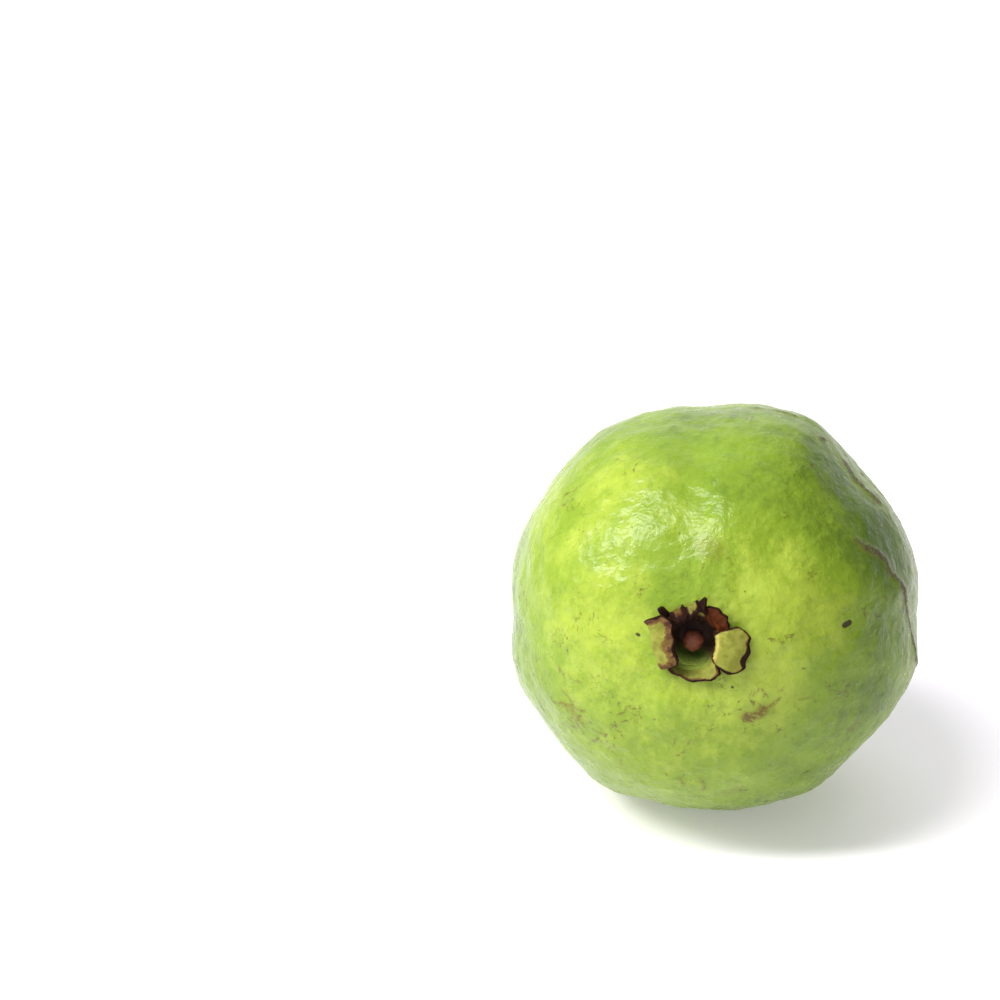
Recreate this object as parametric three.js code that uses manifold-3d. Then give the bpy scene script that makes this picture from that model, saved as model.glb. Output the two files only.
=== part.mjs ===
// A whole guava lying on its side: the fruit with the cup at its blossom end, the dried calyx
// that crowns the cup, the style base inside it and the stub of the stalk at the other end.
//
// Lengths are in millimetres and angles in degrees. Each piece is modelled about the fruit's own
// axis, local +Y, which runs from the stalk to the calyx, with the fruit's middle at the origin.
// Angles round that axis are clock angles: 0 points to the right of someone who faces the calyx
// of the lying fruit, and 90 points up. Angles from the calyx are measured at the fruit's middle.
// The finished part has +Z up, its calyx towards -Y, and its origin on the surface it lies on,
// straight below the fruit's middle.

import * as THREE from 'three';
import { mergeVertices } from 'three/addons/utils/BufferGeometryUtils.js';
import Module from 'manifold-3d';

const wasm = await Module();
wasm.setup();

// ---- Driving dimensions ----

const WIDTH = 80; // mean width across the middle
const CALYX_HALF = 41; // middle of the fruit to its calyx end, before the basin is sunk
const STALK_HALF = 43; // middle of the fruit to its stalk end, before the basin is sunk
const FULLNESS = 2.1; // 2 gives an ellipse, and more gives squarer shoulders

const CALYX_BASIN = { depth: 1.4, width: 13 }; // the shallow hollow round the calyx
const STALK_BASIN = { depth: 4.2, width: 7.5 }; // the deeper hollow round the stalk

const CUP_RADIUS = 6.9; // the cup's mouth, inside its rounded lip
const CUP_LIP = 0.7; // radius of that lip
const LEDGE_DEPTH = 2.4; // the calyx sits on a ledge this far below the lip
const THROAT_RADIUS = 4.9; // the cup narrows from the ledge to its floor
const FLOOR_RADIUS = 3.2;
const CUP_DEPTH = 6.6;

const STALK_RADIUS = 2; // the stub, and the socket its foot stands in
const STALK_SOCKET_DEPTH = 1.6;
const STALK_LENGTH = 4.6;

const CALYX_TILT = 13.5; // the calyx end points this far above the horizontal
const REST_HEIGHT = 38.9; // the fruit's middle above the surface, which leaves a small flat spot

const GAP = 0.3; // clearance between neighbouring pieces

const PROFILE_STEPS = 42;
const ROUND_STEPS = 72;

// Broad swellings of the skin. Each is centred at a clock angle and an angle from the calyx, and
// fades over the two spreads, across and along the line from calyx to stalk. Hollows are negative.
const SWELLINGS = [
  { clock: 18, fromCalyx: 88, across: 11, along: 26, height: 0.2 }, // right flank
  { clock: 69, fromCalyx: 84, across: 12, along: 30, height: 1.7 }, // upper right shoulder
  { clock: 124, fromCalyx: 84, across: 14, along: 34, height: 1.5 }, // upper left shoulder
  { clock: 166, fromCalyx: 86, across: 9, along: 24, height: 0.5 }, // left flank
  { clock: 201, fromCalyx: 94, across: 12, along: 24, height: 1.0 }, // lower left flank
  { clock: 242, fromCalyx: 88, across: 7, along: 22, height: 1.4 }, // lower left corner
  { clock: 306, fromCalyx: 78, across: 4, along: 18, height: 0.5 }, // lower right corner
  { clock: 349, fromCalyx: 88, across: 11, along: 28, height: 0.7 }, // lower right flank
  { clock: 280, fromCalyx: 80, across: 34, along: 26, height: -0.9 }, // belly, a little flatter
  { clock: 325, fromCalyx: 84, across: 11, along: 24, height: -0.5 }, // flat to the lower right
  { clock: 94, fromCalyx: 48, across: 6, along: 34, height: -1.0 }, // valley above the calyx
  { clock: 97, fromCalyx: 88, across: 9, along: 20, height: -0.4 }, // where it meets the top
  { clock: 47, fromCalyx: 80, across: 8, along: 24, height: -1.1 }, // flat between two shoulders
  { clock: 2, fromCalyx: 82, across: 7, along: 22, height: -0.9 }, // flat above the right flank
  { clock: 184, fromCalyx: 80, across: 7, along: 22, height: -0.8 }, // flat on the left
  { clock: 256, fromCalyx: 84, across: 6, along: 20, height: -0.7 }, // dent beside the corner
  { clock: 312, fromCalyx: 58, across: 7, along: 22, height: -0.6 }, // valley to the lower right
  { clock: 150, fromCalyx: 46, across: 13, along: 20, height: 0.7 }, // cheek left of the calyx
  { clock: 22, fromCalyx: 42, across: 12, along: 18, height: 0.6 }, // cheek right of the calyx
  { clock: 14, fromCalyx: 68, across: 3.2, along: 12, height: 0.5 }, // ridge on the right
  { clock: 252, fromCalyx: 21, across: 3.2, along: 7, height: 0.6 }, // fold under the calyx
];

// A field of low lumps spaced evenly over the whole skin.
const LUMPS = { count: 90, spread: 9, height: 0.34 };

// The swellings and lumps fade out between these angles from either end, which leaves the cup
// round the calyx and the socket of the stalk true.
const TRUE_END = { inside: 10, outside: 17 };

// The dried calyx: a short sleeve inside the cup's mouth that carries the sepals.
const SLEEVE = { outer: CUP_RADIUS - GAP, top: -0.3, innerTop: 5.7, innerFoot: 4.7 };

// Each sepal is a blade that follows a line in the plane of its clock angle. The line's points
// are [distance from the axis, height over the lip, width there], from the root in the sleeve to
// the tip. Rounding takes off the corners of the tip, ragged notches its edge, and slant cuts it
// shorter towards lower clock angles, or towards higher ones where it is negative, all as shares
// of the length. Shift moves the whole blade sideways, towards higher clock angles, and lean
// moves its tip further that way. The blade opens out flat towards its tip, except that each side,
// the one at lower clock angles first, keeps its wrap's share of the curve of the mouth.
const SEPALS = [
  // The broad one folded back over the skin, to the right.
  {
    clock: -8, shift: 0.6, lean: 0, wrap: [0, 0], rounding: 0.2, ragged: 0.015, slant: 0,
    line: [
      [5.8, -1.7, 5.0], [5.3, -0.3, 4.9], [5.2, 1.3, 4.8],
      [6.3, 2.4, 7.4], [8.5, 2.1, 9.2], [11.3, 1.2, 8.8],
    ],
  },
  // The rusty one standing up, to the upper right, and the dried point at its corner.
  {
    clock: 45, shift: 0, lean: 0, wrap: [0, 0], rounding: 0.3, ragged: 0.02, slant: 0,
    line: [[5.8, -1.6, 5.0], [5.9, -0.1, 5.4], [7.0, 1.4, 5.8], [8.7, 2.4, 5.4]],
  },
  {
    clock: 58, shift: -0.2, lean: 2.6, wrap: [0, 0], rounding: 0.5, ragged: 0, slant: 0,
    line: [[5.8, -1.6, 2.0], [6.0, 0.2, 2.0], [7.1, 1.8, 1.4], [9.0, 2.8, 1.0]],
  },
  // Two torn halves of one that leans over the cup, at the top.
  {
    clock: 126, shift: -4.2, lean: 0, wrap: [0, 0], rounding: 0.12, ragged: 0.02, slant: 0,
    line: [[5.8, -1.6, 2.2], [5.8, 0.3, 2.3], [5.5, 1.5, 3.0], [3.5, 2.2, 3.0]],
  },
  {
    clock: 126, shift: -1.4, lean: 0, wrap: [0, 0], rounding: 0.12, ragged: 0.02, slant: 0,
    line: [[5.9, -1.6, 2.8], [6.1, 0.0, 2.8], [5.8, 1.3, 3.1], [3.7, 2.0, 3.1]],
  },
  // The blackened stump of one, at the upper left.
  {
    clock: 133, shift: 0, lean: 0, wrap: [0, 0], rounding: 0.3, ragged: 0, slant: 0,
    line: [[5.9, -1.6, 1.6], [6.1, -0.1, 1.5], [7.0, 1.0, 1.4], [8.4, 1.5, 1.9]],
  },
  // The long one that closes over the cup, to the left.
  {
    clock: 205, shift: -2, lean: 0, wrap: [0, 1], rounding: 0.1, ragged: 0.01, slant: -0.14,
    line: [[5.8, -1.6, 5.6], [6.0, -0.1, 6.8], [6.2, 1.8, 9.4], [4.2, 3.2, 9.8], [0.4, 3.6, 9.6]],
  },
  // The short one below, which carries on the wall of the cup.
  {
    clock: 282, shift: -0.1, lean: 0, wrap: [1, 0.6], rounding: 0.1, ragged: 0.02, slant: 0.3,
    line: [[5.6, -1.7, 7.6], [5.7, -0.5, 8.2], [6.4, 0.8, 9.6], [8.2, 1.5, 10.0]],
  },
];
const SEPAL_THICKNESS = 0.9;
const SEPAL_GRID = { across: 8, along: 8 };

// How far the style base stands from the axis, and to which side.
const STYLE_ASIDE = { clock: 275, distance: 0.6 };

// ---- Small helpers ----

const rad = THREE.MathUtils.degToRad;
const deg = THREE.MathUtils.radToDeg;
const { clamp, lerp, smoothstep } = THREE.MathUtils;
const GOLDEN_ANGLE = 180 * (3 - Math.sqrt(5));

// The turn that lays the axis down, calyx towards -Y and tilted up.
const LIE = rad(180 - CALYX_TILT);

// The shortest way round from one clock angle to another.
function clockBetween(from, to) {
  return ((((to - from) % 360) + 540) % 360) - 180;
}

// The point at a clock angle, a distance from the axis and a height along it.
function atClock(clock, distance, height) {
  return new THREE.Vector3(
    distance * Math.cos(rad(clock)),
    height,
    -distance * Math.sin(rad(clock)),
  );
}

// A closed three.js geometry as a manifold-3d solid.
function toSolid(geometry) {
  const bare = geometry.clone();
  bare.deleteAttribute('normal');
  bare.deleteAttribute('uv');
  const merged = mergeVertices(bare, 1e-4);
  const kept = [];
  const index = merged.index.array;
  for (let i = 0; i < index.length; i += 3) {
    const [a, b, c] = [index[i], index[i + 1], index[i + 2]];
    if (a !== b && b !== c && c !== a) kept.push(a, b, c);
  }
  return new wasm.Manifold(new wasm.Mesh({
    numProp: 3,
    vertProperties: new Float32Array(merged.attributes.position.array),
    triVerts: new Uint32Array(kept),
  }));
}

// A manifold-3d solid as a three.js geometry.
function toGeometry(solid) {
  const { vertProperties, triVerts } = solid.getMesh();
  const geometry = new THREE.BufferGeometry();
  geometry.setAttribute('position', new THREE.BufferAttribute(vertProperties, 3));
  geometry.setIndex(new THREE.BufferAttribute(triVerts, 1));
  geometry.computeVertexNormals();
  return geometry;
}

// Moves every vertex of a geometry by a function that changes the vector it is given.
function reshape(geometry, change) {
  const position = geometry.attributes.position;
  const point = new THREE.Vector3();
  for (let i = 0; i < position.count; i++) {
    point.fromBufferAttribute(position, i);
    change(point);
    position.setXYZ(i, point.x, point.y, point.z);
  }
  return geometry;
}

// A solid of revolution about the fruit's axis, from [distance, height] points.
function turned(points, segments) {
  return new THREE.LatheGeometry(points.map(([x, y]) => new THREE.Vector2(x, y)), segments);
}

// ---- The fruit ----

// How far the skin stands out from the plain outline in a direction from the fruit's middle.
function skinHeight(direction) {
  const fromCalyx = deg(Math.acos(clamp(direction.y, -1, 1)));
  const clock = deg(Math.atan2(-direction.z, direction.x));
  const girth = Math.sin(rad(fromCalyx));
  let height = 0;
  for (const s of SWELLINGS) {
    const across = (clockBetween(s.clock, clock) * girth) / s.across;
    const along = (fromCalyx - s.fromCalyx) / s.along;
    height += s.height * Math.exp(-across * across - along * along);
  }
  for (let i = 0; i < LUMPS.count; i++) {
    const y = 1 - (2 * (i + 0.5)) / LUMPS.count;
    const lump = atClock(i * GOLDEN_ANGLE, Math.sqrt(1 - y * y), y);
    const away = deg(direction.angleTo(lump)) / LUMPS.spread;
    height += LUMPS.height * Math.cos(1.7 * i * i) * Math.exp(-away * away);
  }
  const nearestEnd = Math.min(fromCalyx, 180 - fromCalyx);
  return height * smoothstep(nearestEnd, TRUE_END.inside, TRUE_END.outside);
}

// The height along the axis of the plain outline on one side, at a distance from the axis.
function outline(half, basin, distance) {
  const share = (1 - ((2 * distance) / WIDTH) ** FULLNESS) ** (1 / FULLNESS);
  return half * share - basin.depth * Math.exp(-((distance / basin.width) ** 2));
}

const LIP_HEIGHT = outline(CALYX_HALF, CALYX_BASIN, CUP_RADIUS + CUP_LIP);
const LEDGE_HEIGHT = LIP_HEIGHT - LEDGE_DEPTH;
const FLOOR_HEIGHT = LIP_HEIGHT - CUP_DEPTH;
const SOCKET_RADIUS = STALK_RADIUS + GAP;
const SOCKET_MOUTH = -outline(STALK_HALF, STALK_BASIN, SOCKET_RADIUS);
const SOCKET_FLOOR = SOCKET_MOUTH + STALK_SOCKET_DEPTH;

// The outline from the stalk's socket, over the skin and the cup's lip, to the cup's floor.
function fruitProfile() {
  const points = [[0, SOCKET_FLOOR], [SOCKET_RADIUS, SOCKET_FLOOR]];
  const angleAt = (distance) => Math.acos(((2 * distance) / WIDTH) ** (FULLNESS / 2));
  const first = -angleAt(SOCKET_RADIUS);
  const last = angleAt(CUP_RADIUS + CUP_LIP);
  for (let i = 0; i <= PROFILE_STEPS; i++) {
    const angle = lerp(first, last, i / PROFILE_STEPS);
    const distance = (WIDTH / 2) * Math.cos(angle) ** (2 / FULLNESS);
    const height = angle < 0
      ? -outline(STALK_HALF, STALK_BASIN, distance)
      : outline(CALYX_HALF, CALYX_BASIN, distance);
    points.push([distance, height]);
  }
  for (const turn of [30, 60, 90]) {
    points.push([
      CUP_RADIUS + CUP_LIP * (1 - Math.sin(rad(turn))),
      LIP_HEIGHT - CUP_LIP * (1 - Math.cos(rad(turn))),
    ]);
  }
  points.push(
    [CUP_RADIUS, LEDGE_HEIGHT],
    [THROAT_RADIUS, LEDGE_HEIGHT],
    [FLOOR_RADIUS, FLOOR_HEIGHT + 0.8],
    [FLOOR_RADIUS - 0.9, FLOOR_HEIGHT],
    [0, FLOOR_HEIGHT],
  );
  return points;
}

// The whole fruit before the flat spot is cut.
function fruitSolid() {
  const skin = turned(fruitProfile(), ROUND_STEPS);
  return toSolid(reshape(skin, (point) => {
    const direction = point.clone().normalize();
    point.addScaledVector(direction, skinHeight(direction));
  }));
}

// Everything under the surface that the fruit lies on, in the fruit's own frame.
function belowSurface() {
  const size = 2 * WIDTH;
  const block = new THREE.BoxGeometry(size, size, size);
  block.translate(0, 0, -size / 2 - REST_HEIGHT);
  block.rotateX(-LIE);
  return toSolid(block);
}

// ---- The calyx ----

function sleeveSolid() {
  const foot = LEDGE_HEIGHT + GAP;
  const top = LIP_HEIGHT + SLEEVE.top;
  return toSolid(turned([
    [SLEEVE.innerFoot, foot],
    [SLEEVE.outer, foot],
    [SLEEVE.outer, top],
    [SLEEVE.innerTop, top],
    [SLEEVE.innerFoot, foot],
  ], 48));
}

// A point on a sepal's middle surface, u from -1 to 1 across it and v from 0 to 1 along it.
function sepalPoint(sepal, curve, u, v) {
  const corners = sepal.rounding * Math.abs(u) ** 4;
  const notches = sepal.ragged * (1 + Math.sin(9 * u + sepal.clock));
  const shorter = corners + notches + (Math.abs(sepal.slant) - sepal.slant * u) / 2;
  const { x: distance, y: height, z: width } = curve.getPoint(clamp(v * (1 - shorter), 0, 1));
  const side = (u * width) / 2 + sepal.shift + sepal.lean * v;
  const round = Math.sqrt(Math.max(distance ** 2 - side ** 2, 0.2 * distance ** 2));
  const open = smoothstep(v, 0.35, 0.7) * (1 - sepal.wrap[side < 0 ? 0 : 1]);
  const out = lerp(round, distance, open);
  return new THREE.Vector3(0, LIP_HEIGHT + height, 0)
    .add(atClock(sepal.clock, out, 0))
    .add(atClock(sepal.clock + 90, side, 0));
}

// One sepal: a thin curved blade, closed all round.
function sepalSolid(sepal) {
  const curve = new THREE.CatmullRomCurve3(sepal.line.map((p) => new THREE.Vector3(...p)));
  const { across, along } = SEPAL_GRID;
  const step = 1e-3;
  const positions = [];
  for (const side of [-0.5, 0.5]) {
    for (let j = 0; j <= along; j++) {
      for (let i = 0; i <= across; i++) {
        const u = clamp((2 * i) / across - 1, -1 + step, 1 - step);
        const v = clamp(j / along, step, 1 - step);
        const here = sepalPoint(sepal, curve, u, v);
        const acrossIt = sepalPoint(sepal, curve, u + step, v).sub(sepalPoint(sepal, curve, u - step, v));
        const alongIt = sepalPoint(sepal, curve, u, v + step).sub(sepalPoint(sepal, curve, u, v - step));
        const normal = acrossIt.cross(alongIt).normalize();
        here.addScaledVector(normal, side * SEPAL_THICKNESS);
        positions.push(here.x, here.y, here.z);
      }
    }
  }
  const index = [];
  const at = (i, j, face) => (face * (along + 1) + j) * (across + 1) + i;
  const quad = (a, b, c, d) => index.push(a, b, c, a, c, d);
  for (let j = 0; j < along; j++) {
    for (let i = 0; i < across; i++) {
      quad(at(i, j, 1), at(i + 1, j, 1), at(i + 1, j + 1, 1), at(i, j + 1, 1));
      quad(at(i, j, 0), at(i, j + 1, 0), at(i + 1, j + 1, 0), at(i + 1, j, 0));
    }
    quad(at(0, j, 1), at(0, j + 1, 1), at(0, j + 1, 0), at(0, j, 0));
    quad(at(across, j, 0), at(across, j + 1, 0), at(across, j + 1, 1), at(across, j, 1));
  }
  for (let i = 0; i < across; i++) {
    quad(at(i, 0, 0), at(i + 1, 0, 0), at(i + 1, 0, 1), at(i, 0, 1));
    quad(at(i, along, 1), at(i + 1, along, 1), at(i + 1, along, 0), at(i, along, 0));
  }
  const blade = new THREE.BufferGeometry();
  blade.setAttribute('position', new THREE.Float32BufferAttribute(positions, 3));
  blade.setIndex(index);
  return toSolid(blade);
}

// The sleeve and its sepals as one body, with any pocket closed in between them filled.
function calyxSolid() {
  const joined = SEPALS.reduce((body, sepal) => body.add(sepalSolid(sepal)), sleeveSolid());
  return joined.decompose().find((body) => body.volume() > 1);
}

// ---- The style base and the stalk ----

// The dried foot of the style, a knob on the cup's floor, off its middle.
function styleBaseSolid() {
  const foot = FLOOR_HEIGHT + GAP;
  const aside = atClock(STYLE_ASIDE.clock, STYLE_ASIDE.distance, 0);
  const knob = turned([
    [0, foot],
    [1.5, foot],
    [1.8, foot + 0.6],
    [1.95, foot + 1.5],
    [1.7, foot + 2.3],
    [1.0, foot + 2.8],
    [0, foot + 2.7],
  ], 24);
  return toSolid(reshape(knob, (point) => {
    const clock = Math.atan2(-point.z, point.x);
    const swell = 1 + 0.07 * Math.sin(3 * clock + 0.6) + 0.04 * Math.sin(7 * clock);
    point.x *= swell;
    point.z *= swell;
    point.add(aside);
  }));
}

// The stub of the stalk: its foot in the socket and its broken end level with the skin.
function stalkStubSolid() {
  const foot = SOCKET_FLOOR - GAP;
  const radius = STALK_RADIUS;
  const stub = turned([
    [0, foot - STALK_LENGTH + 0.2],
    [radius * 0.7, foot - STALK_LENGTH],
    [radius * 0.98, foot - STALK_LENGTH + 0.4],
    [radius * 0.94, foot - STALK_LENGTH * 0.6],
    [radius, foot - STALK_SOCKET_DEPTH],
    [radius, foot],
    [0, foot],
  ], 24);
  return toSolid(reshape(stub, (point) => {
    const clock = Math.atan2(-point.z, point.x);
    const out = clamp((foot - STALK_SOCKET_DEPTH - point.y) / 2, 0, 1);
    const ridges = 1 + out * (0.05 * Math.sin(5 * clock) - 0.06);
    point.x *= ridges;
    point.z *= ridges;
  }));
}

// ---- The part ----

const PAINT = {
  skin: new THREE.MeshStandardMaterial({ color: 0xa8c845, roughness: 0.4, metalness: 0 }),
  driedSepal: new THREE.MeshStandardMaterial({ color: 0x9a9350, roughness: 0.8, metalness: 0 }),
  driedStyle: new THREE.MeshStandardMaterial({ color: 0x6f3e2b, roughness: 0.8, metalness: 0 }),
  stalkWood: new THREE.MeshStandardMaterial({ color: 0x6b5a3a, roughness: 0.9, metalness: 0 }),
};

const part = new THREE.Group();
const lying = new THREE.Group();
lying.rotation.x = LIE;
lying.position.z = REST_HEIGHT;
part.add(lying);

function addPiece(name, solid, material) {
  const piece = new THREE.Mesh(toGeometry(solid), material);
  piece.name = name;
  lying.add(piece);
}

addPiece('fruit', fruitSolid().subtract(belowSurface()), PAINT.skin);
addPiece('calyx', calyxSolid(), PAINT.driedSepal);
addPiece('style_base', styleBaseSolid(), PAINT.driedStyle);
addPiece('stalk_stub', stalkStubSolid(), PAINT.stalkWood);

export default part;
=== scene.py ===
"""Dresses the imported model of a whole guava: skin, calyx, style base, stalk and a plain studio.

The fruit lies on its side with +Z up and its calyx towards -Y. Shapes are worked out in
millimetres about the fruit's own axis, local +Y, which runs from the stalk to the calyx, and
are then laid down in the row frame, in metres. Clock angles go round that axis: 0 points to the
right of someone who faces the calyx, and 90 points up.
"""

import math

import bpy
import numpy as np
from bpy.props import FloatProperty, FloatVectorProperty, IntProperty, PointerProperty
from mathutils import Matrix, Quaternion, Vector, noise


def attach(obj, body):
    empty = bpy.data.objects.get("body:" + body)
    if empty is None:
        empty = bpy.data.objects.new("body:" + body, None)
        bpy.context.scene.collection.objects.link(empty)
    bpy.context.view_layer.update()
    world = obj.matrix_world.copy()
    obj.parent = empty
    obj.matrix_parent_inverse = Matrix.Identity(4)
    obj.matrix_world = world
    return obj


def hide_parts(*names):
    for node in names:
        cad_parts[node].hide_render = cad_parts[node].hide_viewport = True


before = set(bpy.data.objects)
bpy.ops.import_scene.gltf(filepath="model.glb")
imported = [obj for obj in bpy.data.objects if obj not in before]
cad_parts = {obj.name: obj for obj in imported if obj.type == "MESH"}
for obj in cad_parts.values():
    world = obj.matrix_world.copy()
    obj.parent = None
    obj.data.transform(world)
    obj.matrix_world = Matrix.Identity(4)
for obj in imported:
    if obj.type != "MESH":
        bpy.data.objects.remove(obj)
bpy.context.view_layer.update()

bl_info = {
    "name": "Guava",
    "version": (1, 0, 0),
    "blender": (4, 5, 0),
    "location": "View3D > Sidebar > Guava",
    "description": "A whole guava with its dried calyx, style base and stalk, in a plain studio",
    "category": "Object",
}

MM = 0.001
GOLDEN_ANGLE = 180 * (3 - math.sqrt(5))

# ---- Sizes and tables ----

# Sizes in millimetres. Where a value is a place, it is a distance from the fruit's axis.
CALYX_BASIN = (1.4, 13)  # depth of the basin and how far out it reaches
STALK_BASIN = (4.2, 7.5)
STALK_RADIUS = 2.0
SOCKET_DEPTH = 1.6
SOCKET_BEVEL = 0.3
GAP = 0.3  # left round the stalk and under it
CLEARANCE = 0.02  # left between other pieces that touch
SLEEVE_LIFT = 0.05  # of the sleeve's foot over its ledge
INNERMOST = 0.4  # the ring next to the axis
LIP_TURN = 0.2  # how tightly the skin turns down into the cup
SKIN_LAP = 0.7  # how far the skin runs over the sleeve of the calyx
LEDGE_BEVEL = 0.2
FLOOR_ROUND = 0.8  # height of the rounding where the cup's wall meets its floor
TRUE_MOUTH = (5.2, 6.6)  # the unevenness inside the cup fades out between these
BUMPS_BEGIN = (8.2, 11.5)  # the small bumps in the skin set in between these
FOLDS_AT = 8.4  # small folds fan out round the cup's mouth
FOLDS_SPREAD = 2.4
BROWN_RIM = 6.3  # the skin is brown in places as far out as this, and less past it
RIM_FADE = 0.6
SCAR_HEIGHT = 0.22
SPOT_PIT = 0.1
MARK_RADIUS = 41.0  # from the fruit's middle to its skin, as the marks are measured
FAR_AWAY = 9.0  # past this a mark has no effect
THINNEST = 0.16  # a sepal at its edges

# Other values.
ACROSS, ALONG = 44, 46  # how many faces a sepal has each way
PLAIN_GREEN = 0.34  # how deep the green is where no patch or cloud changes it
FLOOR_GLOW = 0.27
SKY_STRENGTH = 0.12

# Broad swellings of the skin: clock angle, angle from the calyx, the spreads across and along
# the line from calyx to stalk, all in degrees, and the height in millimetres.
SWELLINGS = (
    (18, 88, 11, 26, 0.2),  # right flank
    (69, 84, 12, 30, 1.7),  # upper right shoulder
    (124, 84, 14, 34, 1.5),  # upper left shoulder
    (166, 86, 9, 24, 0.5),  # left flank
    (201, 94, 12, 24, 1.0),  # lower left flank
    (242, 88, 7, 22, 1.4),  # lower left corner
    (306, 78, 4, 18, 0.5),  # lower right corner
    (349, 88, 11, 28, 0.7),  # lower right flank
    (280, 80, 34, 26, -0.9),  # belly, a little flatter
    (325, 84, 11, 24, -0.5),  # flat to the lower right
    (94, 48, 6, 34, -1.0),  # valley above the calyx
    (97, 88, 9, 20, -0.4),  # where it meets the top
    (47, 80, 8, 24, -1.1),  # flat between two shoulders
    (2, 82, 7, 22, -0.9),  # flat above the right flank
    (184, 80, 7, 22, -0.8),  # flat on the left
    (256, 84, 6, 20, -0.7),  # dent beside the corner
    (312, 58, 7, 22, -0.6),  # valley to the lower right
    (150, 46, 13, 20, 0.7),  # cheek left of the calyx
    (22, 42, 12, 18, 0.6),  # cheek right of the calyx
    (14, 68, 3.2, 12, 0.5),  # ridge on the right
    (252, 21, 3.2, 7, 0.6),  # fold under the calyx
)
LUMP_COUNT = 90
LUMP_SPREAD = 9
LUMP_HEIGHT = 0.34
TRUE_END = (10, 17)  # the swellings fade out between these angles from either end

# The line that a sepal follows is given as (distance from the axis, height over the lip, width
# there). Shift moves the blade sideways and lean moves its tip further, in millimetres, and
# wrap says how much of the mouth's curve each of its sides keeps. Rounding takes off the
# corners of the tip, ragged and fray notch its edge and slant cuts it shorter to one side, all
# as shares of the length. Dry and rust say how dry and how rusty the face is, margin and char
# how wide its brown margin and the black edge of that are, in millimetres, free says how far
# along it comes clear of the sleeve, and fold says where a pale band is painted along its crest
# as a highlight. On the torn halves at the top, rust and char also paint the shade that lies on
# them, and on the stump char paints the shade of the gap it stands in.


def a_sepal(clock, line, **own):
    """The values of one sepal: its own, and the usual ones where it gives none."""
    usual = {
        "shift": 0, "lean": 0, "wrap": (0, 0), "slant": 0, "ragged": 0.02, "rust": 0.0, "fold": -1,
    }
    return {"clock": clock, "line": line, **usual, **own}


SEPALS = (
    a_sepal(  # folded back over the skin, to the right
        -8, (
            (5.8, -1.7, 5.0), (5.3, -0.3, 4.9), (5.2, 1.3, 4.8),
            (6.3, 2.4, 7.4), (8.5, 2.1, 9.2), (11.3, 1.2, 8.8),
        ),
        shift=0.6, rounding=0.2, ragged=0.015, fray=0.012, free=0.28,
        # Its fold value paints a pale band along the crest, as a highlight.
        dry=0.1, margin=0.5, char=0.55, fold=0.5,
    ),
    a_sepal(  # the rusty one, to the upper right
        45, ((5.8, -1.6, 5.0), (5.9, -0.1, 5.4), (7.0, 1.4, 5.8), (8.7, 2.4, 5.4)),
        rounding=0.3, fray=0.03, free=0.5, dry=0.5, rust=1.0, margin=0.4, char=0.22,
    ),
    a_sepal(  # the dried point at its corner
        58, ((5.8, -1.6, 2.0), (6.0, 0.2, 2.0), (7.1, 1.8, 1.4), (9.0, 2.8, 1.0)),
        shift=-0.2, lean=2.6, rounding=0.5, ragged=0, fray=0.0, free=0.45,
        dry=0.9, margin=0.9, char=2.5,
    ),
    # The torn halves get rust and a wide char, which paint the shade that lies on them.
    a_sepal(  # two torn halves of one that leans over the cup, at the top
        126, ((5.8, -1.6, 2.2), (5.8, 0.3, 2.3), (5.5, 1.5, 3.0), (3.5, 2.2, 3.0)),
        shift=-4.2, rounding=0.12, fray=0.04, free=0.5,
        dry=0.15, rust=0.4, margin=0.55, char=0.5,
    ),
    a_sepal(
        126, ((5.9, -1.6, 2.8), (6.1, 0.0, 2.8), (5.8, 1.3, 3.1), (3.7, 2.0, 3.1)),
        shift=-1.4, rounding=0.12, fray=0.04, free=0.5,
        dry=0.2, rust=0.75, margin=0.9, char=1.0,
    ),
    # The stump is black all over; its black paints the shade of the gap it stands in.
    a_sepal(  # the blackened stump, at the upper left
        133, ((5.9, -1.6, 1.6), (6.1, -0.1, 1.5), (7.0, 1.0, 1.4), (8.4, 1.5, 1.9)),
        rounding=0.3, ragged=0, fray=0.01, free=0.4, dry=0.9, margin=1.5, char=3.0,
    ),
    a_sepal(  # the long one that closes over the cup, to the left
        205, (
            (5.8, -1.6, 5.6), (6.0, -0.1, 6.8), (6.2, 1.8, 9.4), (4.2, 3.2, 9.8), (0.4, 3.6, 9.6),
        ),
        shift=-2, wrap=(0, 1), slant=-0.14, rounding=0.1, ragged=0.01, fray=0.01, free=0.42,
        dry=0.12, margin=1.1, char=0.35,
    ),
    a_sepal(  # the short one below, which carries on the wall of the cup
        282, ((5.6, -1.7, 7.6), (5.7, -0.5, 8.2), (6.4, 0.8, 9.6), (8.2, 1.5, 10.0)),
        shift=-0.1, wrap=(1, 0.6), slant=0.3, rounding=0.1, fray=0.035, free=0.5,
        dry=0.06, margin=0.5, char=0.2,
    ),
)
STYLE_ASIDE = (275, 0.6)  # which way and how far in mm the style base stands off the axis

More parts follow.
